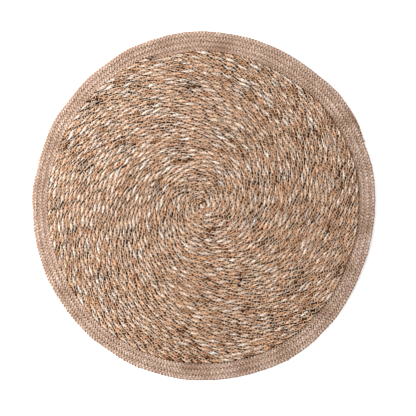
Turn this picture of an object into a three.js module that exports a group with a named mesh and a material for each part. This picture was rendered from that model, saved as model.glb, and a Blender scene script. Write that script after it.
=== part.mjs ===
// Round chair seat pad: one twisted two-ply grass cord wound into a flat spiral, framed by a little
// over three rows of three-strand jute plait, and sewn row to row with a needle and a bobbin thread.
// Millimetres, +Z up. The pad lies on z = 0 with the centre of its outline's box on the Z axis.
// Seen from above every spiral runs outwards clockwise.
import * as THREE from "three";

// Driving dimensions
const CORD_PITCH = 4.6; // from one row of grass cord to the next
const CORD_HEIGHT = 5.0; // the pad's thickness in the field
const CORD_TURNS = 36;
const FIRST_RADIUS = 4.2; // middle of the cord where the spiral begins
const PLAIT_PITCH = 5.8; // from one row of plait to the next
const PLAIT_HEIGHT = 4.0;
const PLAIT_TURNS = 3.275;
const STRANDS = 3; // in the plait
const THREAD_WIDTH = 0.4;
const THREAD_HEIGHT = 0.55;
const THREAD_INSET = 0.1; // how far a thread lies below the top of the cord, or above its underside
const JOIN_ANGLE = THREE.MathUtils.degToRad(112); // where the cord ends and the plait takes over
const GAP = 0.3; // clearance between neighbouring solids
const END_GAP = 0.45; // from the cord's end to the plait's start, along the row

// A spiral turns finer as it grows, and each step count doubles the one before it,
// so that the corners of neighbouring rows always lie on the same radius.
const INNER_STEPS = 10; // steps in a turn
const FIELD_STEPS = 20;
const RIM_STEPS = 40;
const FINER_FROM_TURN = 19;

// The two plies lie as nested wedges: ply A with its flat side down, ply B with its flat side up.
const PLY_WIDTH = 3.6;
const PLY_DEPTH = 4.0;
const PLY_OFFSET = CORD_PITCH / 4;
const CORD_REACH = PLY_OFFSET + PLY_WIDTH / 2; // from the cord's middle line to its outer edge

const PLAIT_UNDERCUT = 0.9; // slant of the plait's inner edge, which leaves room for the bobbin thread
const STRAND_WIDTH = (PLAIT_PITCH - STRANDS * GAP) / STRANDS;
const NEEDLE_ON_PLAIT = 0.4; // seam lines, measured from the inner edge of a row of plait
const BOBBIN_ON_PLAIT = 0.22;

const LAST_TURN = CORD_TURNS + PLAIT_TURNS;

const cordRadius = (turn) => FIRST_RADIUS + CORD_PITCH * turn;

const plaitStart = CORD_TURNS + END_GAP / (2 * Math.PI * cordRadius(CORD_TURNS));
const firstPlaitEdge = cordRadius(CORD_TURNS - 1) + CORD_REACH + GAP;
const plaitEdge = (turn) => firstPlaitEdge + PLAIT_PITCH * (turn - CORD_TURNS);

// Each seam joins a row to the row inside it.
const needleRadius = (turn) =>
  turn <= CORD_TURNS ? cordRadius(turn) - PLY_OFFSET : plaitEdge(turn) + NEEDLE_ON_PLAIT;
const bobbinRadius = (turn) =>
  turn <= CORD_TURNS ? cordRadius(turn - 1) + PLY_OFFSET : plaitEdge(turn) + BOBBIN_ON_PLAIT;

// The turns at which a spiral between two turns has its corners.
function corners(from, to) {
  const turns = [];
  let turn = from;
  while (turn < to - 1e-9) {
    turns.push(turn);
    const steps =
      turn < FINER_FROM_TURN - 1e-9 ? INNER_STEPS : turn < CORD_TURNS - 1e-9 ? FIELD_STEPS : RIM_STEPS;
    turn = (Math.round(turn * steps) + 1) / steps;
  }
  turns.push(to);
  return turns;
}

// A clockwise spiral that passes through its corners one step after another.
class SpiralPath extends THREE.Curve {
  constructor(radiusAt, turns) {
    super();
    this.radiusAt = radiusAt;
    this.turns = turns;
  }

  turnAt(t) {
    return this.turns[Math.round(t * (this.turns.length - 1))];
  }

  angleAt(t) {
    return JOIN_ANGLE + 2 * Math.PI * (CORD_TURNS - this.turnAt(t));
  }

  getPointAt(t, target = new THREE.Vector3()) {
    const angle = this.angleAt(t);
    const radius = this.radiusAt(this.turnAt(t));
    return target.set(radius * Math.cos(angle), radius * Math.sin(angle), 0);
  }

  // Square to the radius, so that neighbouring rows share their corner planes.
  getTangentAt(t, target = new THREE.Vector3()) {
    const angle = this.angleAt(t);
    return target.set(Math.sin(angle), -Math.cos(angle), 0);
  }
}

// A section drawn as [outwards, up] points, swept along a spiral.
function sweep(section, radiusAt, from, to) {
  const turns = corners(from, to);
  const shape = new THREE.Shape(section.map(([out, up]) => new THREE.Vector2(-up, out)));
  return new THREE.ExtrudeGeometry(shape, {
    steps: turns.length - 1,
    bevelEnabled: false,
    extrudePath: new SpiralPath(radiusAt, turns),
  });
}

const seagrass = new THREE.MeshStandardMaterial({ color: 0xb48c70, roughness: 0.85, metalness: 0 });
const jute = new THREE.MeshStandardMaterial({ color: 0xb69a86, roughness: 0.9, metalness: 0 });
const thread = new THREE.MeshStandardMaterial({ color: 0xcbb49c, roughness: 0.6, metalness: 0 });

const pad = new THREE.Group();

function add(name, geometry, material) {
  const mesh = new THREE.Mesh(geometry, material);
  mesh.name = name;
  pad.add(mesh);
}

// Grass cord
const plyA = [
  [-PLY_OFFSET - PLY_WIDTH / 2, 0],
  [-PLY_OFFSET + PLY_WIDTH / 2, 0],
  [-PLY_OFFSET, PLY_DEPTH],
];
const plyB = [
  [PLY_OFFSET - PLY_WIDTH / 2, CORD_HEIGHT],
  [PLY_OFFSET + PLY_WIDTH / 2, CORD_HEIGHT],
  [PLY_OFFSET, CORD_HEIGHT - PLY_DEPTH],
];
add("seagrass_ply_a", sweep(plyA, cordRadius, 0, CORD_TURNS), seagrass);
add("seagrass_ply_b", sweep(plyB, cordRadius, 0, CORD_TURNS), seagrass);

// Jute plait, with its strands side by side
for (let i = 0; i < STRANDS; i++) {
  const inner = i * (STRAND_WIDTH + GAP);
  const outer = inner + STRAND_WIDTH;
  const undercut = i === 0 ? PLAIT_UNDERCUT : 0;
  const section = [
    [inner + undercut, 0],
    [outer, 0],
    [outer, PLAIT_HEIGHT],
    [inner, PLAIT_HEIGHT],
  ];
  const name = "plait_strand_" + "abc"[i];
  add(name, sweep(section, plaitEdge, plaitStart, LAST_TURN), jute);
}

// Sewing: the first seam joins the second turn of cord to the first
const needleTop = CORD_HEIGHT - THREAD_INSET;
const needleSection = [
  [-THREAD_WIDTH / 2, needleTop],
  [THREAD_WIDTH / 2, needleTop],
  [0, needleTop - THREAD_HEIGHT],
];
const bobbinSection = [
  [-THREAD_WIDTH / 2, THREAD_INSET],
  [THREAD_WIDTH / 2, THREAD_INSET],
  [0, THREAD_INSET + THREAD_HEIGHT],
];
add("needle_thread", sweep(needleSection, needleRadius, 1, LAST_TURN), thread);
add("bobbin_thread", sweep(bobbinSection, bobbinRadius, 1, LAST_TURN), thread);

// Put the middle of the outline's box on the Z axis.
const box = new THREE.Box3().setFromObject(pad, true);
const middle = box.getCenter(new THREE.Vector3());
pad.position.set(-middle.x, -middle.y, 0);

export default pad;
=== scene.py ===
# %% [markdown]
# # A round seat pad, wound from grass cord
#
# The pad is one long grass cord, laid flat in a spiral from the middle outwards. The cord has two plies
# twisted round each other. A plait of three jute strands follows it for a little over three rows and makes
# the rim, and a zigzag lockstitch along every groove holds each row to the one before.
#
# So almost nothing here is a block that could be carved or bevelled: every piece is a long thin thing that
# follows one path. The lesson is how to work out that path once, and then let every ply, strand and thread
# ride along it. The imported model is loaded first. It is the fixed frame: all that is built later has to lie
# where it lies.

import math

import bpy
import numpy as np
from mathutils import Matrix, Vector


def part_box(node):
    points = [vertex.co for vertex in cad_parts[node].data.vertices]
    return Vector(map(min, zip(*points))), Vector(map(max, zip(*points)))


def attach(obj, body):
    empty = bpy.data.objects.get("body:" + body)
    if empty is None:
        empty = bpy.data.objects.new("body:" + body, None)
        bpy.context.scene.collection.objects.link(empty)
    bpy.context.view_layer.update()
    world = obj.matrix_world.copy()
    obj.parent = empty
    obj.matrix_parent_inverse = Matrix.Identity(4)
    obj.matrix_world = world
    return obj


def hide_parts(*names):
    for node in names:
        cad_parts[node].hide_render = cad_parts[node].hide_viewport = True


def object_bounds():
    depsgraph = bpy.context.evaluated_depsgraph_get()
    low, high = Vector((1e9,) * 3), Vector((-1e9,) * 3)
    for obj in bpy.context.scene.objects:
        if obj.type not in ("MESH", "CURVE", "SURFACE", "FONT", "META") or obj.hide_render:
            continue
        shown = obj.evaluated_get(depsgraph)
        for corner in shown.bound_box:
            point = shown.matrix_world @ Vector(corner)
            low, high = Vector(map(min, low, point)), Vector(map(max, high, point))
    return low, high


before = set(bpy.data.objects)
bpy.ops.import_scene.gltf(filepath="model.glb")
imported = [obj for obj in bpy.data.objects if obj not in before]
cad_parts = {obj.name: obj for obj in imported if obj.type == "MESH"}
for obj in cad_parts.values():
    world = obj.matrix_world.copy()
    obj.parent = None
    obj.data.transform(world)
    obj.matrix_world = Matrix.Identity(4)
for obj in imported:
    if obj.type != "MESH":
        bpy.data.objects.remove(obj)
cad_low, cad_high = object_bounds()
bpy.ops.object.select_all(action="DESELECT")
MM = 0.001
print("frame in mm:", [round(x / MM, 2) for x in (*cad_low, *cad_high)])

# %% [markdown]
# ## The path of the rows
#
# A flat spiral needs only three facts: the radius of the first row, how much the radius grows in one turn,
# and the angle at which the cord ends and the plait begins. Both spirals run clockwise as they go outwards.
#
# The rim is laid against the cord's last row. Its rows are wider than the cord's, so in its first turn the
# width of the row has to grow from one to the other, or a gap would open where a full turn meets the start.

# %% Sizes of the winding
MIDDLE = (cad_high.z + cad_low.z) / 2
JOIN_ANGLE = math.radians(112)
CORD_TURNS = 36
CORD_PITCH = 4.6 * MM
FIRST_RADIUS = 4.2 * MM
PLAIT_TURNS = 3.275
PLAIT_PITCH = 5.8 * MM


def row_angle(turn):
    """Angle of the winding at a turn, counted from the middle."""
    return JOIN_ANGLE + 2 * np.pi * (CORD_TURNS - turn)


def cord_radius(turn):
    """Radius of the middle of the cord at a turn."""
    return FIRST_RADIUS + CORD_PITCH * turn


field_low, field_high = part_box("seagrass_ply_a")
field_radius = (field_high.x - field_low.x + field_high.y - field_low.y) / 4
print("field radius in the frame", round(field_radius / MM, 1), "mm, last row wound at",
      round(cord_radius(CORD_TURNS - 0.5) / MM, 1), "mm")


# %% Rows of the rim
def rim_row(turn):
    """Inner edge and width of the rim's row at a number of turns past the end of the cord."""
    row = np.floor(turn)
    share = turn - row
    first_width = CORD_PITCH + (PLAIT_PITCH - CORD_PITCH) * share
    cord_edge = cord_radius(CORD_TURNS) - CORD_PITCH / 2 + CORD_PITCH * share
    inner = cord_edge + np.where(row > 0, first_width + PLAIT_PITCH * (row - 1), 0)
    return inner, np.where(row > 0, PLAIT_PITCH, first_width)


print("inner edges of the rim's rows in mm:", [round(float(rim_row(row)[0]) / MM, 1) for row in range(4)])

# %% [markdown]
# ## The two ends of the rim
#
# A plait can't stop dead. At its start it is a little narrow, where it comes out from under the end of the
# cord, and at its end its strands are thinned out and tucked in against the row before. Both are a smooth
# rise or fall of the width of the row. The same soft rise is used for every change in this lesson, so it
# gets a helper of its own.

# %% Widths at the ends
START_TURNS = 0.02
START_SHARE = 0.7
TAIL_TURNS = 0.085
TAIL_SHARE = 0.16
TAIL_TUCK = 2.6 * MM
TUCK_SPEED = 1.6


def ease(x):
    """0 to 1 with a soft start and a soft stop."""
    x = np.clip(x, 0, 1)
    return x * x * (3 - 2 * x)


def between(low, high, x):
    """From low, where x is 0, softly to high, where x is 1."""
    return low + (high - low) * ease(x)


def rim_share(turn):
    """Width of the rim's row as a share of its full width."""
    start = between(START_SHARE, 1, turn / START_TURNS)
    end = between(TAIL_SHARE, 1, (PLAIT_TURNS - turn) / TAIL_TURNS)
    return np.minimum(start, end)


def tail_tuck(turn):
    """How far the rim's last stretch lies in under the row before."""
    return TAIL_TUCK * (1 - ease((PLAIT_TURNS - turn) / TAIL_TURNS * TUCK_SPEED))


print("the rim starts at", float(rim_share(0)), "of its width and ends at", float(rim_share(PLAIT_TURNS)))


# %% The outline as wound
def wound_outline(angle):
    """Outer edge of the rim at an angle, as wound."""
    share = ((JOIN_ANGLE - angle) / (2 * np.pi)) % 1
    turn = np.floor(PLAIT_TURNS - share) + share
    inner, width = rim_row(turn)
    return inner + width * rim_share(turn) - tail_tuck(turn)


print("outline as wound:", round(float(wound_outline(np.radians(60))) / MM, 1), "mm at 60 degrees")

# %% [markdown]
# ## Unevenness
#
# Nothing made by hand from grass is even: rows sway, plies swell, stitches wander and tones change. All of
# it comes from one helper, a sum of a few waves in random directions. The seed fixes the waves, so the pad
# comes out the same each time. Each unevenness is written as three numbers: its size, its wavelength and its
# seed.

# %% Ripples
RIPPLE_WAVES = 9
SHORTEST_WAVE = 0.6
WAVE_RANGE = 0.8


def ripple(x, y, size, wavelength, seed):
    """Smooth unevenness over a surface, mostly from -size to size."""
    total = np.zeros(np.broadcast(x, y).shape)
    for heading, phase, stretch in np.random.default_rng(seed).random((RIPPLE_WAVES, 3)):
        turn = 2 * np.pi * heading
        wave = 2 * np.pi / (wavelength * (SHORTEST_WAVE + WAVE_RANGE * stretch))
        total += np.cos(wave * (x * np.cos(turn) + y * np.sin(turn)) + 2 * np.pi * phase)
    return size * (total / math.sqrt(RIPPLE_WAVES))


sample = ripple(np.linspace(0, 1, 500), 0, 1, 50 * MM, 10)
print("a ripple of size 1 runs from", round(sample.min(), 2), "to", round(sample.max(), 2))

# %% [markdown]
# ## From a perfect spiral to a hand-wound one
#
# A sewn mat is never a true circle. Its rim pulls a little oval, the middle of the spiral lies off the middle
# of the outline, the rows half way out lie looser than the others, and all of them sway by half a millimetre.
# If each piece were bent on its own they would drift through each other, so one function settles every point
# of every piece: a point is given by its radius, its angle and its height on the perfect spiral, and comes
# back as X, Y and Z.
#
# The outline comes first. It is written as a few waves round the circle. What it differs by from the rim as
# wound is smoothed, so that the end of the plait still shows as a small step, and kept as a table.

# %% The outline as sewn
RIM_FULLNESS = 0.6 * MM
RIM_RADIUS = (cad_high.x - cad_low.x + cad_high.y - cad_low.y) / 4 + RIM_FULLNESS
OUTLINE_WAVES = ((2, 1.8 * MM, -167), (3, 0.5 * MM, -127), (4, 0.7 * MM, -114), (5, 0.55 * MM, -127))
OUTLINE_STEPS = 720
SMOOTH_ORDERS = 6


def outline_shift():
    """How far the rim is pulled out of its wound shape, as a table over the full circle."""
    angle = np.linspace(-np.pi, np.pi, OUTLINE_STEPS, endpoint=False)
    wanted = RIM_RADIUS + sum(
        size * np.cos(order * angle + math.radians(phase)) for order, size, phase in OUTLINE_WAVES
    )
    spectrum = np.fft.rfft(wanted - wound_outline(angle))
    spectrum[SMOOTH_ORDERS + 1:] = 0
    return angle, np.fft.irfft(spectrum, len(angle))


SHIFT_ANGLES, SHIFTS = outline_shift()
print("the rim is pulled by", round(SHIFTS.min() / MM, 2), "to", round(SHIFTS.max() / MM, 2), "mm")

# %% Settle the winding
MOST_PULL = 1.1
OFF_CENTRE = (-0.7 * MM, 1.6 * MM)
LOOSE_ROWS = 3.2 * MM
LOOSE_PULL = (2.0 * MM, -1.7 * MM)
LOOSE_INSIDE = 0.6
SWAY_X = (0.45 * MM, 55 * MM, 11)
SWAY_Y = (0.45 * MM, 55 * MM, 12)
LIFT = (0.05, 38 * MM, 13)


def settle(radius, angle, height):
    """XYZ of points given on the perfect spiral."""
    pull = np.clip(radius / RIM_RADIUS, 0, MOST_PULL)
    shift = np.interp((angle + np.pi) % (2 * np.pi) - np.pi, SHIFT_ANGLES, SHIFTS, period=2 * np.pi)
    share = np.clip(radius / field_radius, 0, 1)
    loose = 4 * share * (1 - share) * (1 + LOOSE_INSIDE * (1 - share) ** 2)
    radius = radius + pull**3 * shift + LOOSE_ROWS * loose
    x = radius * np.cos(angle) + LOOSE_PULL[0] * loose
    y = radius * np.sin(angle) + LOOSE_PULL[1] * loose
    inner = np.clip(1 - pull**2, 0, 1)
    settled_x = x + ripple(x, y, *SWAY_X) + OFF_CENTRE[0] * inner
    settled_y = y + ripple(x, y, *SWAY_Y) + OFF_CENTRE[1] * inner
    settled_z = np.maximum(height * (1 + ripple(x, y, *LIFT)), 0)
    return np.stack([settled_x, settled_y, settled_z], axis=-1)


print("the middle settles at", (settle(np.zeros(1), np.zeros(1), np.zeros(1))[0] / MM).round(1), "mm")

# %% [markdown]
# ## A skin over rings of points
#
# Blender could sweep a profile along a curve, but its profile can't change shape along the way, and a ply
# has to swell, flatten and turn about its partner all the time. So each piece is computed as rings of
# points, one ring after the other, and joined into a closed tube. Going clockwise, a ring that is numbered
# from outwards to upwards gives faces that point out of the tube.
#
# Three things are stored on the mesh for the materials. `fibre` holds a place in the untwisted strand: across
# it, and along it. A pattern that reads it runs along the fibres however the strand winds. The tone attribute
# says which stretches were made from paler grass, and on the plies it also holds painted shade in the grooves
# and a painted sheen on the side towards the soft box. The UV map holds the length along the strand and the
# way round it.

# %% Make a tube from rings
def strand_uv(length, sides):
    """UV of the walls, (length, way round), face by face, and zeros for the two end caps."""
    near = length[:-1, None]
    far = length[1:, None]
    here = np.arange(sides) / sides
    ahead = here + 1 / sides
    shape = (len(length) - 1, sides, 4)
    u = np.broadcast_to(np.stack([near, near, far, far], axis=-1), shape)
    v = np.broadcast_to(np.stack([here, ahead, ahead, here], axis=-1), shape)
    return np.concatenate([np.stack([u, v], axis=-1).reshape(-1, 2), np.zeros((2 * sides, 2))])


def strand_mesh(name, rings, fibre, tone, length):
    """A closed mesh through rings (n, m, 3), with three fibre places and a tone (n, m), and lengths (n,)."""
    count, sides = rings.shape[:2]
    corner = np.arange(count * sides).reshape(count, sides)
    here, ahead = corner[:-1], corner[1:]
    walls = np.stack([here, np.roll(here, -1, 1), np.roll(ahead, -1, 1), ahead], axis=-1)
    faces = walls.reshape(-1, 4).tolist()
    faces += [corner[0, ::-1].tolist(), corner[-1].tolist()]
    mesh = bpy.data.meshes.new(name)
    mesh.from_pydata(rings.reshape(-1, 3).tolist(), [], faces)
    places = np.stack([np.broadcast_to(x, (count, sides)) for x in fibre], axis=-1)
    tones = np.broadcast_to(tone, (count, sides))
    mesh.attributes.new("fibre", "FLOAT_VECTOR", "POINT").data.foreach_set("vector", places.ravel())
    # On the plies this tone also holds painted shade in the grooves and painted sheen on the side towards the
    # soft box.
    mesh.attributes.new("tone", "FLOAT", "POINT").data.foreach_set("value", tones.ravel())
    mesh.uv_layers.new(name="strand").data.foreach_set("uv", strand_uv(length, sides).ravel())
    return mesh


# %% [markdown]
# ## From a mesh to a piece
#
# A mesh becomes a piece when an object shows it. The piece gets its material and smooth shading, rides on the
# pad's one body, and hides the CAD node that it replaces. Its object stays at the origin, because its place
# is in its mesh already.

# %% Put a piece into the scene
def add_object(mesh):
    """An object for a mesh, at the origin."""
    shown = bpy.data.objects.new(mesh.name, mesh)
    bpy.context.scene.collection.objects.link(shown)
    return shown


def finish_piece(piece, node, material):
    """Makes an object a piece, which hides the CAD node that it replaces unless node is None."""
    piece.data.materials.append(material)
    piece.data.shade_smooth()
    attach(piece, "root")
    if node:
        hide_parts(node)
    print(piece.name, len(piece.data.polygons), "faces")


# %% [markdown]
# ## Fibre streaks, for every material
#
# Grass leaves, jute yarn and sewing thread differ in colour and size, but all are bundles of long fibres.
# One node group makes the streaks for all three. It stretches one noise to the size of a leaf or yarn and a
# finer one to the size of a single fibre, both along the `fibre` place. A third, unstretched, makes flecks
# of dry skin and nicks. The group puts out the three masks and a height for the bump.

# %% Node helpers
def add_node(tree, kind, place, **settings):
    """A node with its settings and its unlinked inputs, which are given as in_NAME or by number."""
    node = tree.nodes.new(kind)
    node.location = place
    for key, value in settings.items():
        if key.startswith("in_"):
            wanted = key[3:].replace("_", " ")
            socket = node.inputs[int(wanted)] if wanted.isdigit() else node.inputs[wanted]
            socket.default_value = value
        else:
            setattr(node, key, value)
    return node


def new_group(name, inputs, outputs):
    """An empty shader node group. inputs is a list of (name, kind, value), outputs of (name, kind)."""
    tree = bpy.data.node_groups.new(name, "ShaderNodeTree")
    for label, kind, value in inputs:
        socket = tree.interface.new_socket(label, in_out="INPUT", socket_type="NodeSocket" + kind)
        if value is not None:
            socket.default_value = value
    for label, kind in outputs:
        tree.interface.new_socket(label, in_out="OUTPUT", socket_type="NodeSocket" + kind)
    return tree, tree.nodes.new("NodeGroupInput"), tree.nodes.new("NodeGroupOutput")


def place_group(tree, group, place, **values):
    """A group placed in a material, with its own values."""
    node = add_node(tree, "ShaderNodeGroup", place, node_tree=group)
    for label, value in values.items():
        node.inputs[label.replace("_", " ")].default_value = value
    return node


# %% The fibre streaks group
NOISE_ROUGHNESS = 0.55
HAIR_RELIEF = 0.45
streaks, given, result = new_group(
    "Fibre streaks",
    [("Fibre place", "Vector", None), ("Strip width", "Float", 1 * MM), ("Strip length", "Float", 30 * MM),
     ("Hair width", "Float", 0.2 * MM), ("Hair length", "Float", 6 * MM), ("Fleck size", "Float", 1 * MM)],
    [("Strip tone", "Float"), ("Hair tone", "Float"), ("Fleck tone", "Float"), ("Height", "Float")],
)


def stretched_noise(width, length, detail, place):
    """Noise along the fibres, whose spots are as wide and as long as two of the group's inputs say."""
    size = add_node(streaks, "ShaderNodeCombineXYZ", place)
    for axis, label in enumerate((width, width, length)):
        streaks.links.new(given.outputs[label], size.inputs[axis])
    scaled = add_node(streaks, "ShaderNodeVectorMath", (place[0] + 180, place[1]), operation="DIVIDE")
    streaks.links.new(given.outputs["Fibre place"], scaled.inputs[0])
    streaks.links.new(size.outputs[0], scaled.inputs[1])
    noise = add_node(streaks, "ShaderNodeTexNoise", (place[0] + 360, place[1]), in_Scale=1.0,
                     in_Detail=detail, in_Roughness=NOISE_ROUGHNESS)
    streaks.links.new(scaled.outputs[0], noise.inputs["Vector"])
    return noise.outputs["Fac"]


strip = stretched_noise("Strip width", "Strip length", 1.5, (200, 200))
hair = stretched_noise("Hair width", "Hair length", 3.0, (200, -200))
fleck = stretched_noise("Fleck size", "Fleck size", 1.0, (200, -600))
mixed = add_node(streaks, "ShaderNodeMath", (800, -100), operation="MULTIPLY_ADD", in_1=HAIR_RELIEF)
streaks.links.new(hair, mixed.inputs[0])
streaks.links.new(strip, mixed.inputs[2])
streaks.links.new(strip, result.inputs["Strip tone"])
streaks.links.new(hair, result.inputs["Hair tone"])
streaks.links.new(fleck, result.inputs["Fleck tone"])
streaks.links.new(mixed.outputs[0], result.inputs["Height"])
print("group:", streaks.name)

# %% [markdown]
# ## Painted shade in the hollows
#
# Between the rows and between the plies the cord is dark, as little light gets in there, and this shade is
# painted into the colour as well. The group measures how far a point lies from the middle plane of the pad,
# since all that lies deep is near that plane on both faces, and turns it into a painted shade mask that is 1
# deep down and 0 on the crowns.

# %% The hollow shade group
hollow_shade, given, result = new_group(
    "Hollow shade",
    [("Place", "Vector", None), ("Middle", "Float", MIDDLE), ("Crown", "Float", 1.8 * MM),
     ("Floor", "Float", 0.6 * MM)],
    [("Depth", "Float")],
)
split = add_node(hollow_shade, "ShaderNodeSeparateXYZ", (200, 0))
above = add_node(hollow_shade, "ShaderNodeMath", (380, 0), operation="SUBTRACT")
away = add_node(hollow_shade, "ShaderNodeMath", (560, 0), operation="ABSOLUTE")
mask = add_node(hollow_shade, "ShaderNodeMapRange", (740, 0), interpolation_type="SMOOTHSTEP", in_3=1.0, in_4=0.0)
hollow_shade.links.new(given.outputs["Place"], split.inputs[0])
hollow_shade.links.new(split.outputs["Z"], above.inputs[0])
hollow_shade.links.new(given.outputs["Middle"], above.inputs[1])
hollow_shade.links.new(above.outputs[0], away.inputs[0])
hollow_shade.links.new(away.outputs[0], mask.inputs["Value"])
hollow_shade.links.new(given.outputs["Floor"], mask.inputs["From Min"])
hollow_shade.links.new(given.outputs["Crown"], mask.inputs["From Max"])
hollow_shade.links.new(mask.outputs[0], result.inputs["Depth"])
print("group:", hollow_shade.name)

# %% [markdown]
# ## The strand material
#
# All three materials share one build. A colour ramp over the strip tone gives each leaf or yarn its own
# colour, and the mesh's tone attribute moves whole stretches up or down that ramp; on the plies that
# attribute also holds painted shade in the grooves and a painted sheen on the side towards the soft box. The
# hair and fleck tones lighten and darken it finely, and the hollow mask mixes in a painted shade colour where
# the strand lies deep. The hair tone also roughens the surface, and the group's height bumps it.
#
# What makes grass look like grass and jute like jute is in the values: grass has wide, long, faintly shiny
# strips of very different colours, jute has fine, short, dull ones that hardly differ.

# %% Colour helpers
NOISE_LOW = 0.3
NOISE_HIGH = 0.7


def srgb(red, green, blue):
    """A screen colour, 0 to 255, as the linear colour that Blender's sockets hold."""
    return tuple((c / 255 / 12.92) if c <= 10 else ((c / 255 + 0.055) / 1.055) ** 2.4
                 for c in (red, green, blue)) + (1.0,)


def spread_noise(tree, noise, low, high, place):
    """A noise, which hardly leaves the middle of 0 to 1, spread from low to high."""
    node = add_node(tree, "ShaderNodeMapRange", place, in_1=NOISE_LOW, in_2=NOISE_HIGH, in_3=low, in_4=high)
    tree.links.new(noise, node.inputs[0])
    return node.outputs[0]


def mix_colours(tree, blend, place, first, **settings):
    """A node that mixes a second colour into the first."""
    node = add_node(tree, "ShaderNodeMix", place, data_type="RGBA", blend_type=blend, clamp_result=True)
    tree.links.new(first, node.inputs["A"])
    for label, value in settings.items():
        node.inputs[label].default_value = value
    return node


print("mid brown as a linear colour:", [round(c, 3) for c in srgb(138, 96, 66)])


# %% The colour of each leaf or yarn
def strip_colour(tree, strip_tone, tones, stretch_share):
    """The ramp's colour for the tone of a strip and of the stretch that it lies in."""
    ramp = add_node(tree, "ShaderNodeValToRGB", (-1000, 300))
    ramp.color_ramp.interpolation = "EASE"
    while len(ramp.color_ramp.elements) < len(tones):
        ramp.color_ramp.elements.new(0.5)
    for element, (position, colour) in zip(ramp.color_ramp.elements, tones):
        element.position = position
        element.color = srgb(*colour)
    # The tone attribute brings in the grass's own stretches of tone and, on the plies, the painted groove
    # shade and painted sheen.
    stretch = add_node(tree, "ShaderNodeAttribute", (-1500, 450), attribute_name="tone")
    toned = add_node(tree, "ShaderNodeMath", (-1150, 450), operation="MULTIPLY_ADD", in_1=stretch_share)
    tree.links.new(stretch.outputs["Fac"], toned.inputs[0])
    tree.links.new(strip_tone, toned.inputs[2])
    tree.links.new(toned.outputs[0], ramp.inputs[0])
    return ramp.outputs[0]


# %% Build a strand material
STRAND_GLOSS = 0.1


def strand_material(name, tones, hollow_shade_colour, strip, hair, fleck, crown, contrast, roughness, bump):
    """tones are (place on the ramp, colour) pairs; strip and hair are (width, length); crown is (floor,
    crown); contrast is that of the hairs, the flecks and the stretches; bump is (strength, height)."""
    material = bpy.data.materials.new(name)
    material.use_nodes = True
    tree = material.node_tree
    surface = tree.nodes["Principled BSDF"]
    surface.inputs["Specular IOR Level"].default_value = STRAND_GLOSS

    fibre = add_node(tree, "ShaderNodeAttribute", (-1500, 200), attribute_name="fibre")
    place = add_node(tree, "ShaderNodeTexCoord", (-1500, -300))
    streak = place_group(tree, streaks, (-1250, 200), Strip_width=strip[0], Strip_length=strip[1],
                         Hair_width=hair[0], Hair_length=hair[1], Fleck_size=fleck)
    depth = place_group(tree, hollow_shade, (-1250, -300), Floor=crown[0], Crown=crown[1])
    tree.links.new(fibre.outputs["Vector"], streak.inputs["Fibre place"])
    tree.links.new(place.outputs["Object"], depth.inputs["Place"])

    colour = strip_colour(tree, streak.outputs["Strip tone"], tones, contrast[2])
    for step, (label, amount) in enumerate((("Hair tone", contrast[0]), ("Fleck tone", contrast[1]))):
        grain = spread_noise(tree, streak.outputs[label], 1 - amount, 1 + amount, (-1000, -200 * step))
        grained = mix_colours(tree, "MULTIPLY", (-800 + 120 * step, 200), colour, Factor=1.0)
        tree.links.new(grain, grained.inputs["B"])
        colour = grained.outputs["Result"]
    # Painted shade: the hollow mask mixes the colour towards a dark shade colour where the strand lies deep,
    # in the grooves and stitch holes.
    shaded = mix_colours(tree, "MIX", (-450, 200), colour, B=srgb(*hollow_shade_colour))
    tree.links.new(depth.outputs["Depth"], shaded.inputs["Factor"])
    tree.links.new(shaded.outputs["Result"], surface.inputs["Base Color"])

    rough = spread_noise(tree, streak.outputs["Hair tone"], *roughness, (-450, -100))
    tree.links.new(rough, surface.inputs["Roughness"])
    relief = add_node(tree, "ShaderNodeBump", (-450, -400), in_Strength=bump[0], in_Distance=bump[1])
    tree.links.new(streak.outputs["Height"], relief.inputs["Height"])
    tree.links.new(relief.outputs[0], surface.inputs["Normal"])
    return material


# %% The three finishes
# Each material's hollow colour is painted shade for what lies deep: near black for the grass, mid brown for
# the thread, soft brown for the jute.
seagrass = strand_material(
    "Seagrass leaf",
    tones=((0.26, (58, 30, 14)), (0.35, (136, 87, 54)), (0.44, (185, 140, 106)), (0.54, (184, 159, 138)),
           (0.68, (202, 195, 190))),
    hollow_shade_colour=(20, 5, 1), strip=(0.8 * MM, 22 * MM), hair=(0.3 * MM, 6 * MM), fleck=1.4 * MM,
    crown=(1.3 * MM, 2.15 * MM), contrast=(0.38, 0.6, 0.075), roughness=(0.4, 0.66), bump=(0.8, 0.3 * MM),
)
jute = strand_material(
    "Jute yarn",
    tones=((0.32, (146, 117, 101)), (0.45, (177, 151, 136)), (0.58, (194, 173, 161)),
           (0.70, (208, 194, 187))),
    hollow_shade_colour=(140, 108, 87), strip=(0.5 * MM, 5 * MM), hair=(0.12 * MM, 2.5 * MM), fleck=1.2 * MM,
    crown=(0.2 * MM, 1.3 * MM), contrast=(0.14, 0.24, 0.03), roughness=(0.72, 0.95), bump=(0.6, 0.2 * MM),
)
thread = strand_material(
    "Sewing thread",
    tones=((0.35, (170, 140, 116)), (0.5, (196, 167, 143)), (0.65, (212, 188, 166))),
    hollow_shade_colour=(72, 40, 20), strip=(0.25 * MM, 2 * MM), hair=(0.06 * MM, 1 * MM), fleck=0.8 * MM,
    crown=(0.6 * MM, 1.7 * MM), contrast=(0.12, 0.1, 0.02), roughness=(0.6, 0.85), bump=(0.4, 0.08 * MM),
)
print("materials:", seagrass.name, jute.name, thread.name)

# %% [markdown]
# ## The twist of the cord
#
# The two plies go once round each other in about 25 mm, and tighter where the rows are small, in the middle.
# So the angle of twist is added up along the cord in a fine table, and the rings are placed at equal steps
# of twist, not of length: each full turn of the plies gets the same number of rings.
#
# The cord starts just past the middle of the spiral, so that its end fills the middle and leaves no hole.

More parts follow.
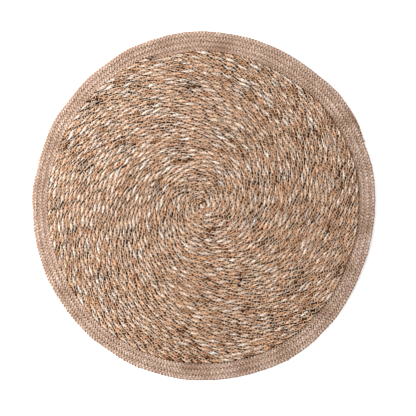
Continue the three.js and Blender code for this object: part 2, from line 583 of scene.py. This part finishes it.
# %% Twist along the cord
START_TURN = -1.06
END_TURN = CORD_TURNS + 0.009
LAY = 25 * MM
MIDDLE_LAY = 15 * MM
LAY_SPREAD = 35 * MM
LAY_WANDER = (0.2, 70 * MM, 20)
TABLE_STEPS = 60000


def running_total(steps):
    """What the steps add up to, from 0 on."""
    return np.concatenate([[0], np.cumsum(steps)])


fine_turn = np.linspace(START_TURN, END_TURN, TABLE_STEPS)
fine_radius = np.abs(cord_radius(fine_turn))
fine_length = running_total(2 * np.pi * np.diff(fine_turn) * (fine_radius[:-1] + fine_radius[1:]) / 2)
fine_lay = between(MIDDLE_LAY, LAY, fine_radius / LAY_SPREAD) * (1 + ripple(fine_length, 0, *LAY_WANDER))
fine_twist = running_total(2 * np.pi * np.diff(fine_length) / fine_lay[1:])
cord_length = fine_length[-1]
print("cord length", round(cord_length, 2), "m,", round(fine_twist[-1] / (2 * np.pi)), "lays")

# %% [markdown]
# ## The section of a ply
#
# A grass ply is a loose roll of flat leaves. Its section is wider across than it is deep, since its partner
# presses on it, and it is never quite round, because the leaves' edges stand out as ridges that run round it
# slowly. Both are written as a formula for the radius of a ring. In the middle of the pad, where the cord is
# bent most, it is rounder and thinner.

# %% Shape of a ply
PLY_CENTRE = (0.85 * MM, 1.1 * MM)
PLY_DEPTH = (1.5 * MM, 1.3 * MM)
PLY_WIDTH = (2.0 * MM, 2.15 * MM)
ROUND_SPREAD = 85 * MM
SWELL_SHORT = (0.09, 9 * MM, 21)
SWELL_LONG = (0.05, 70 * MM, 22)
FOLD_RIDGES = 0.06
LEAF_RIDGES = 0.07
RIDGE_WANDER = (2, 30 * MM, 23)


def circle(sides):
    """Angles of the corners of a ring."""
    return 2 * np.pi * np.arange(sides)[None] / sides


def ply_section(own, leaf, round_ply, radius):
    """How far a ring's corners lie out from the middle of the cord, and across."""
    swell = 1 + ripple(own, 0, *SWELL_SHORT) + ripple(own, 0, *SWELL_LONG)
    leaf_wave = np.cos(4 * leaf + ripple(own, 0, *RIDGE_WANDER))
    ridges = 1 + FOLD_RIDGES * np.cos(2 * leaf) + LEAF_RIDGES * leaf_wave
    centre, depth, width = (between(low, high, radius / ROUND_SPREAD)
                            for low, high in (PLY_CENTRE, PLY_DEPTH, PLY_WIDTH))
    out = centre + depth * swell * ridges * np.cos(round_ply)
    return out, width * swell * ridges * np.sin(round_ply)


print("a ply is", round(2 * PLY_DEPTH[1] / MM, 1), "mm deep and", round(2 * PLY_WIDTH[1] / MM, 1), "mm wide")

# %% Thickness at the ends of the cord
START_LENGTH = 14 * MM
START_THICKNESS = 1.15
END_LENGTH = 10 * MM
END_THICKNESS = 0.7


def cord_taper(length):
    """Thickness of the cord as a share: its start is folded under, its end is thinned under the plait."""
    start = between(START_THICKNESS, 1, length / START_LENGTH)
    end = between(END_THICKNESS, 1, (cord_length - length) / END_LENGTH)
    return start * end


print("thickness at the two ends:", cord_taper(0), cord_taper(cord_length))

# %% [markdown]
# ## The tone of the grass, with painted sheen and shade
#
# Grass dries to many tones, and one bunch follows another into the twist. So the tone changes along each ply,
# in long stretches and in short ones. On top of that a painted sheen makes the pad a little paler on the side
# that faces the soft box, and painted shade makes the strands that lie deep in a groove darker.

# %% Tone, painted sheen and painted shade along a ply
TONE_LONG = (0.7, 100 * MM, 24)
TONE_SHORT = (0.6, 28 * MM, 25)
# The next two numbers paint a sheen on the side of the pad that faces the soft box; the two after them paint
# shade into the grooves between rows.
PAINTED_SHEEN_SIDE = math.radians(150)
PAINTED_SHEEN_SHARE = 0.4
GROOVE_SHADE = 2.5
GROOVE_SHADE_PLACES = (1.2 * MM, 2.2 * MM)


def grass_tone_and_shade(own, turn, lateral):
    """Tone at a place along a ply's own length, at a turn, and this far from the middle of the cord, with the
    painted sheen and the painted groove shade added.
    """
    # Painted sheen: the tone rises towards the side that faces the soft box.
    painted_sheen = cord_radius(turn) / field_radius * np.cos(row_angle(turn) - PAINTED_SHEEN_SIDE)
    # Painted shade: the tone falls where the ply lies deep in the groove beside the next row.
    low, high = GROOVE_SHADE_PLACES
    groove_shade = ease((np.abs(lateral) - low) / (high - low))
    return ripple(own, 0, *TONE_LONG) + ripple(own, 0, *TONE_SHORT) + PAINTED_SHEEN_SHARE * painted_sheen - GROOVE_SHADE * groove_shade


print("tone from the middle of a row to its groove:",
      grass_tone_and_shade(0, 20, np.array((0, 1.7, 2.3)) * MM).round(2))

# %% [markdown]
# ## The plies
#
# Now the two plies can be wound. They are alike but for half a turn, and each reads its ripples at a place
# of its own, far from the other's, so that they don't swell or change tone together. Each is built in three
# lengths, the inner, middle and outer rows, because a mesh of the whole ply would be too heavy for one file.

# %% Wind the two plies
RINGS_PER_LAY = 18
PLY_SIDES = 14
PLY_SKIN = 1.4 * MM
LEAF_TWIST = 46 * MM
FAR_APART = 60.0
PLY_SPLITS = (START_TURN, 20.8, 29.4, END_TURN)


def ply_rings(first_ring, last_ring, side):
    """Rings, fibre places, tones and lengths of one ply; side is 0 or 1."""
    twist = np.arange(first_ring, last_ring + 1) * (2 * np.pi / RINGS_PER_LAY)
    turn = np.interp(twist, fine_twist, fine_turn)[:, None]
    length = np.interp(twist, fine_twist, fine_length)[:, None]
    radius = cord_radius(turn)
    own = length + side * FAR_APART
    round_ply = circle(PLY_SIDES)
    leaf = round_ply + 2 * np.pi * length / LEAF_TWIST + side
    out, across = ply_section(own, leaf, round_ply, radius)

    turned = twist[:, None] + side * np.pi
    taper = cord_taper(length)
    lateral = taper * (out * np.cos(turned) - across * np.sin(turned))
    height = MIDDLE + taper * (out * np.sin(turned) + across * np.cos(turned))
    rings = settle(radius + lateral, row_angle(turn), height)
    fibre = (PLY_SKIN * np.cos(leaf), PLY_SKIN * np.sin(leaf), own)
    return rings, fibre, grass_tone_and_shade(own, turn, lateral), length[:, 0]


split_twists = [np.interp(turn, fine_turn, fine_twist) for turn in PLY_SPLITS]
split_rings = [int(twist / (2 * np.pi) * RINGS_PER_LAY) for twist in split_twists]
for side, letter in enumerate("ab"):
    for part, first, last in zip(("inner", "middle", "outer"), split_rings[:-1], split_rings[1:]):
        mesh = strand_mesh(f"seagrass_ply_{letter}_{part}", *ply_rings(first, last, side))
        finish_piece(add_object(mesh), f"seagrass_ply_{letter}", seagrass)

# %% [markdown]
# ## Strands that swing
#
# The plait's strands and the sewing threads don't run along the row: they swing from side to side and dive
# up and down. Their rings have to stand square to that path, or the strand would look pinched where it
# crosses over. The helper takes the swing and the height at each ring, works out the direction of the path
# from its neighbours, and tilts the section to match.

# %% Rings square to a swinging path
def swinging_rings(centre_radius, angle, length, lateral, height, across, up):
    """Rings (n, m, 3) of a strand; across and up are its section (n, m) or (1, m), in metres."""
    along_step, side_step, rise_step = (np.gradient(x) for x in (length, lateral, height))
    level = np.hypot(along_step, side_step)
    whole = np.hypot(level, rise_step)
    back = -side_step / level
    out = along_step / level
    tilt_along = -along_step * rise_step / (level * whole)
    tilt_side = -side_step * rise_step / (level * whole)
    tilt_up = level / whole
    along = back[:, None] * across + tilt_along[:, None] * up
    radius = (centre_radius + lateral)[:, None] + out[:, None] * across + tilt_side[:, None] * up
    ring_angle = angle[:, None] - along / centre_radius[:, None]
    return settle(radius, ring_angle, height[:, None] + tilt_up[:, None] * up)


# %% [markdown]
# ## The plait
#
# In a flat plait of three, every strand makes the same figure eight, a third of a period behind the next: it
# swings from edge to edge once while it rises and falls twice, so that it lies on top on the way in from
# each edge and underneath on the way out. Seen from above that gives two columns of slanted stitches. Each
# strand is a yarn of two twisted ends, so its section has two lobes that turn as they go.

# %% Length of the plait
RIM_STEPS = 8000

rim_turn = np.linspace(0, PLAIT_TURNS, RIM_STEPS)
rim_inner, rim_width = rim_row(rim_turn)
rim_middle = rim_inner + rim_width * rim_share(rim_turn) / 2
rim_length = running_total(2 * np.pi * np.diff(rim_turn) * rim_middle[1:])
plait_length = rim_length[-1]
print("plait length", round(plait_length, 2), "m")

# %% Plait the rim
PLAIT_PERIOD = 10.5 * MM
RINGS_PER_PLAIT = 16
PLAIT_MIDDLE = 2.15 * MM
PLAIT_SWING = 0.62 * MM
PLAIT_NESTING = 1.1
PLAIT_LOOSENESS = (0.06, 14 * MM, 31)
PLAIT_WANDER = (0.25, 60 * MM, 32)
TAIL_DROP = 0.3
YARN_RADIUS = 1.36 * MM
YARN_FLATNESS = 0.76
YARN_LAY = 6.5 * MM
YARN_LOBES = 0.13
YARN_SIDES = 10
THINNEST_YARN = 0.25
JUTE_TONE = (1, 70 * MM, 33)


def plait_rings(strand):
    """Rings, fibre places, tones and lengths of one strand of the plait; strand is 0, 1 or 2."""
    length = np.linspace(0, plait_length, int(plait_length / PLAIT_PERIOD * RINGS_PER_PLAIT))
    turn = np.interp(length, rim_length, rim_turn)
    inner, width = rim_row(turn)
    width = width * rim_share(turn)
    tuck = tail_tuck(turn)
    slim = np.minimum(1, THINNEST_YARN + (1 - THINNEST_YARN) * width / PLAIT_PITCH)
    loose = 1 + ripple(length + strand * FAR_APART, 0, *PLAIT_LOOSENESS)
    phase = 2 * np.pi * (length / PLAIT_PERIOD + strand / 3) + ripple(length, 0, *PLAIT_WANDER)
    lateral = np.maximum(width / 2 - YARN_RADIUS * slim, 0) * PLAIT_NESTING * np.sin(phase) * loose
    height = PLAIT_MIDDLE - PLAIT_SWING * slim * np.sin(2 * phase)
    height = height * (1 - TAIL_DROP * tuck / TAIL_TUCK)

    round_yarn = circle(YARN_SIDES)
    turned = round_yarn - 2 * np.pi * length[:, None] / YARN_LAY
    size = YARN_RADIUS * (slim * loose)[:, None] * (1 + YARN_LOBES * np.cos(2 * turned))
    rings = swinging_rings(inner + width / 2 - tuck, row_angle(CORD_TURNS + turn), length, lateral, height,
                           size * np.cos(round_yarn), YARN_FLATNESS * size * np.sin(round_yarn))
    own = length[:, None] + (strand + 3) * FAR_APART
    return rings, (MM * np.cos(turned), MM * np.sin(turned), own), ripple(own, 0, *JUTE_TONE), length


for strand, letter in enumerate("abc"):
    mesh = strand_mesh(f"plait_yarn_{letter}", *plait_rings(strand))
    finish_piece(add_object(mesh), f"plait_strand_{letter}", jute)

# %% [markdown]
# ## The sewing
#
# A zigzag machine swings its needle from one row to the next at every stitch. On top the needle thread
# crosses the groove as a slanted bar and dives into the cord at both ends, where it is locked round the
# bobbin thread inside the pad. The bobbin thread does the same on the underside. So one function makes both,
# and the second is turned over by its height.
#
# The stitches are counted first, along the seam. They are closer near the middle, where the mat is turned
# slowly under the needle.

# %% Count the stitches
STITCH = 3.1 * MM
MIDDLE_STITCH = 2.3 * MM
FIRST_SEAM = 0.35
SEAM_SPLITS = (FIRST_SEAM, 25.4, CORD_TURNS + PLAIT_TURNS - 0.02)


def seam_radius(turn):
    """Radius of the groove inside the row at a turn."""
    return np.where(turn < CORD_TURNS, cord_radius(turn) - CORD_PITCH / 2,
                    rim_row(np.maximum(turn - CORD_TURNS, 0))[0])


seam_turn = np.linspace(FIRST_SEAM, SEAM_SPLITS[-1], TABLE_STEPS)
seam_length = running_total(2 * np.pi * np.diff(seam_turn) * seam_radius(seam_turn)[1:])
stitch_size = between(MIDDLE_STITCH, STITCH, seam_radius(seam_turn) / LAY_SPREAD)
stitch_number = running_total(np.diff(seam_length) / stitch_size[1:])
print("seam length", round(seam_length[-1], 2), "m,", int(stitch_number[-1]), "stitches")

# %% [markdown]
# Each stitch needs only three rings: one deep in the hole, and two that hold the bar level between the holes.
# The needle is at the inner row at one stitch and at the outer row at the next.

# %% Sew the rows together
LEG_PLACES = np.array([0.0, 0.16, 0.84])
STITCH_SWING = 1.3 * MM
STITCH_WANDER = (0.12, 8 * MM, 41)
STITCH_TOP = 2.15 * MM
PLAIT_STITCH_TOP = 1.72 * MM
STITCH_DIP = 1.0 * MM
THREAD_WIDTH = 0.85 * MM
THREAD_HEIGHT = 0.7 * MM
THREAD_SIDES = 6
THREAD_TONE = (1, 200 * MM, 42)


def thread_rings(first, last, facing):
    """Rings, fibre places, tones and lengths of one thread from one stitch to another, counted from the
    first; facing is 1 for the top and -1 for the underside."""
    whole = np.arange(first, last)
    number = (whole[:, None] + LEG_PLACES).ravel()
    wave = number - 2 * np.floor(number / 2)
    leg = np.where(wave < 1, wave, 2 - wave)
    turn = np.interp(number, stitch_number, seam_turn)
    length = np.interp(number, stitch_number, seam_length)
    lateral = STITCH_SWING * (2 * leg - 1) * (1 + ripple(length, 0, *STITCH_WANDER))
    hole = np.tile(LEG_PLACES == 0, len(whole))
    on_plait = (turn - CORD_TURNS) / START_TURNS
    top = between(STITCH_TOP, PLAIT_STITCH_TOP, on_plait)
    height = between(MIDDLE, PLAIT_MIDDLE, on_plait) + facing * (top - STITCH_DIP * hole)

    across = THREAD_WIDTH / 2 * np.cos(circle(THREAD_SIDES))
    up = THREAD_HEIGHT / 2 * np.sin(circle(THREAD_SIDES))
    rings = swinging_rings(seam_radius(turn), row_angle(turn), length, lateral, height, across, up)
    own = (length + facing * FAR_APART)[:, None]
    return rings, (across, up, own), ripple(own, 0, *THREAD_TONE), length


for node, facing in (("needle_thread", 1), ("bobbin_thread", -1)):
    for part, first, last in (("inner", *SEAM_SPLITS[:2]), ("outer", *SEAM_SPLITS[1:])):
        stitches = [int(np.interp(turn, seam_turn, stitch_number)) for turn in (first, last)]
        mesh = strand_mesh(f"{node}_{part}", *thread_rings(*stitches, facing))
        finish_piece(add_object(mesh), node, thread)

# %% [markdown]
# ## Loose ends
#
# Grass never twists in completely. Here and there the tip of a leaf springs out of the cord and lies over its
# neighbours, and one pale leaf near the middle has curled back into a hook. Each is a short tapered tube that
# bends one way and arches a little, with its root down in the cord. The hook is the same tube, only longer,
# wider and bent much further.

# %% One loose end
LOOSE_RINGS = np.linspace(0, 1, 9)
LOOSE_SIDES = 5
LOOSE_TOP = 5.1 * MM
LOOSE_ARCH = 0.7 * MM
LOOSE_LEAN = 0.8
LOOSE_SINK = 0.9
LOOSE_TAPER = 0.75
LOOSE_FLATNESS = 0.5
LOOSE_TONE = 1.8
BEND_GROWTH = 1.6


def loose_end(start, heading, length, bend, width, number):
    """A tapered tube from start, (x, y), that turns by bend radians over its length."""
    turned = heading + bend * LOOSE_RINGS ** BEND_GROWTH
    step = length / (len(LOOSE_RINGS) - 1)
    path_x = start[0] + running_total(step * np.cos(turned[1:]))
    path_y = start[1] + running_total(step * np.sin(turned[1:]))
    arch = np.sin(np.pi * LOOSE_RINGS ** LOOSE_LEAN) - LOOSE_SINK * (1 - LOOSE_RINGS) ** 3
    path_z = LOOSE_TOP + LOOSE_ARCH * arch
    size = width * (1 - LOOSE_TAPER * LOOSE_RINGS)[:, None]
    side = size * np.cos(circle(LOOSE_SIDES))
    rings = np.stack([path_x[:, None] - np.sin(turned)[:, None] * side,
                      path_y[:, None] + np.cos(turned)[:, None] * side,
                      path_z[:, None] + LOOSE_FLATNESS * size * np.sin(circle(LOOSE_SIDES))], axis=-1)
    along = length * LOOSE_RINGS
    fibre = (side, 0, along[:, None] + number * FAR_APART)
    return strand_mesh("loose_end", rings, fibre, LOOSE_TONE, along)


# %% [markdown]
# The ends are scattered with seeded dice, evenly over the field, each lying roughly along its row. They are
# too small to be pieces of their own, so they are joined into one.

# %% Scatter the loose ends
LOOSE_ENDS = 90
LOOSE_SEED = 51
LOOSE_FIELD = (0.02, 0.9)
LOOSE_STRAYING = 0.35
LOOSE_LENGTHS = (4, 10)
LOOSE_BEND = 0.9
LOOSE_WIDTH = 0.28 * MM
WIDTH_SHARES = (0.6, 1.3)
HOOK = {"start": (-25.4 * MM, 26.8 * MM), "heading": math.radians(40), "length": 13 * MM, "bend": -3.1,
        "width": 0.75 * MM}

ends = [loose_end(**HOOK, number=LOOSE_ENDS)]
dice = np.random.default_rng(LOOSE_SEED)
for number in range(LOOSE_ENDS):
    radius = field_radius * math.sqrt(dice.uniform(*LOOSE_FIELD))
    angle = dice.uniform(0, 2 * math.pi)
    start = (radius * math.cos(angle), radius * math.sin(angle))
    heading = angle - math.pi / 2 + dice.normal(0, LOOSE_STRAYING)
    length = dice.uniform(*LOOSE_LENGTHS) * MM
    bend = dice.normal(0, LOOSE_BEND)
    ends.append(loose_end(start, heading, length, bend, LOOSE_WIDTH * dice.uniform(*WIDTH_SHARES), number))

bpy.ops.object.select_all(action="DESELECT")
for mesh in ends:
    loose = add_object(mesh)
    loose.select_set(True)
    bpy.context.view_layer.objects.active = loose
bpy.ops.object.join()
loose.name = "loose_leaf_ends"
loose.data.name = "loose_leaf_ends"
finish_piece(loose, None, seagrass)

# %% [markdown]
# ## The floor
#
# The pad lies on a plain pale floor that glows a little, like a light table, so that no hard shadow shows
# beside the pad. Under the pad the glow is off, or it would shine up through every gap in the cord.

# %% Floor
FLOOR_SIZE = 8
FLOOR_GAP = 0.1 * MM
GLOW_INNER = 0.178
GLOW_OUTER = 0.192
GLOW_STRENGTH = 0.55

bpy.ops.mesh.primitive_plane_add(size=FLOOR_SIZE, location=(0, 0, cad_low.z - FLOOR_GAP))
floor = bpy.context.object
floor.name = "floor"
paint = bpy.data.materials.new("Pale floor")
paint.use_nodes = True
painted = paint.node_tree.nodes["Principled BSDF"]
painted.inputs["Base Color"].default_value = (0.9, 0.895, 0.89, 1)
painted.inputs["Roughness"].default_value = 0.9
painted.inputs["Emission Strength"].default_value = GLOW_STRENGTH

place = add_node(paint.node_tree, "ShaderNodeTexCoord", (-800, 0))
from_middle = add_node(paint.node_tree, "ShaderNodeVectorMath", (-600, 0), operation="LENGTH")
glow = add_node(paint.node_tree, "ShaderNodeMapRange", (-400, 0), interpolation_type="SMOOTHSTEP",
                in_1=GLOW_INNER, in_2=GLOW_OUTER)
paint.node_tree.links.new(place.outputs["Object"], from_middle.inputs[0])
paint.node_tree.links.new(from_middle.outputs["Value"], glow.inputs[0])
paint.node_tree.links.new(glow.outputs[0], painted.inputs["Emission Color"])
floor.data.materials.append(paint)
print("the floor glows from", GLOW_OUTER, "m outwards")

# %% [markdown]
# ## Light and camera
#
# The main light is a broad soft box on the left, low enough for every cord to be bright on its left side and
# for the left of the pad to be lighter than the right. A pale sky fills the shade. The camera looks straight
# down, and stands a few millimetres off the middle, so that the pad has a little more room on its right.

# %% Light
LIGHT_SIDE = math.radians(167)
LIGHT_AWAY = 1.2
LIGHT_UP = 0.84
LIGHT_SIZE = 0.72
LIGHT_WATTS = 41
SKY_STRENGTH = 0.56

world = bpy.data.worlds.new("Pale sky")
bpy.context.scene.world = world
world.use_nodes = True
sky = world.node_tree.nodes["Background"]
sky.inputs["Color"].default_value = (1.0, 0.99, 0.975, 1)
sky.inputs["Strength"].default_value = SKY_STRENGTH

light_place = (LIGHT_AWAY * math.cos(LIGHT_SIDE), LIGHT_AWAY * math.sin(LIGHT_SIDE), LIGHT_UP)
bpy.ops.object.light_add(type="AREA", location=light_place)
key = bpy.context.object
key.name = "soft_box"
key.data.shape = "DISK"
key.data.size = LIGHT_SIZE
key.data.energy = LIGHT_WATTS
key.data.color = (1.0, 0.98, 0.95)
key.rotation_euler = (-key.location).to_track_quat("-Z", "Y").to_euler()
print("soft box at", [round(x, 2) for x in key.location], "m,", key.data.energy, "W")

# %% Camera
CAMERA_HEIGHT = 1.5
CAMERA_PLACE = (0.00423, -0.00227, CAMERA_HEIGHT)
VIEW_WIDTH = 0.4564
SENSOR = 36

bpy.ops.object.camera_add(location=CAMERA_PLACE, rotation=(0, 0, 0))
camera = bpy.context.object
camera.data.sensor_width = SENSOR
camera.data.lens = SENSOR * CAMERA_HEIGHT / VIEW_WIDTH
bpy.context.scene.camera = camera
bpy.context.scene.view_settings.view_transform = "Standard"
print("camera", CAMERA_HEIGHT, "m above the floor, lens", round(camera.data.lens, 1), "mm")
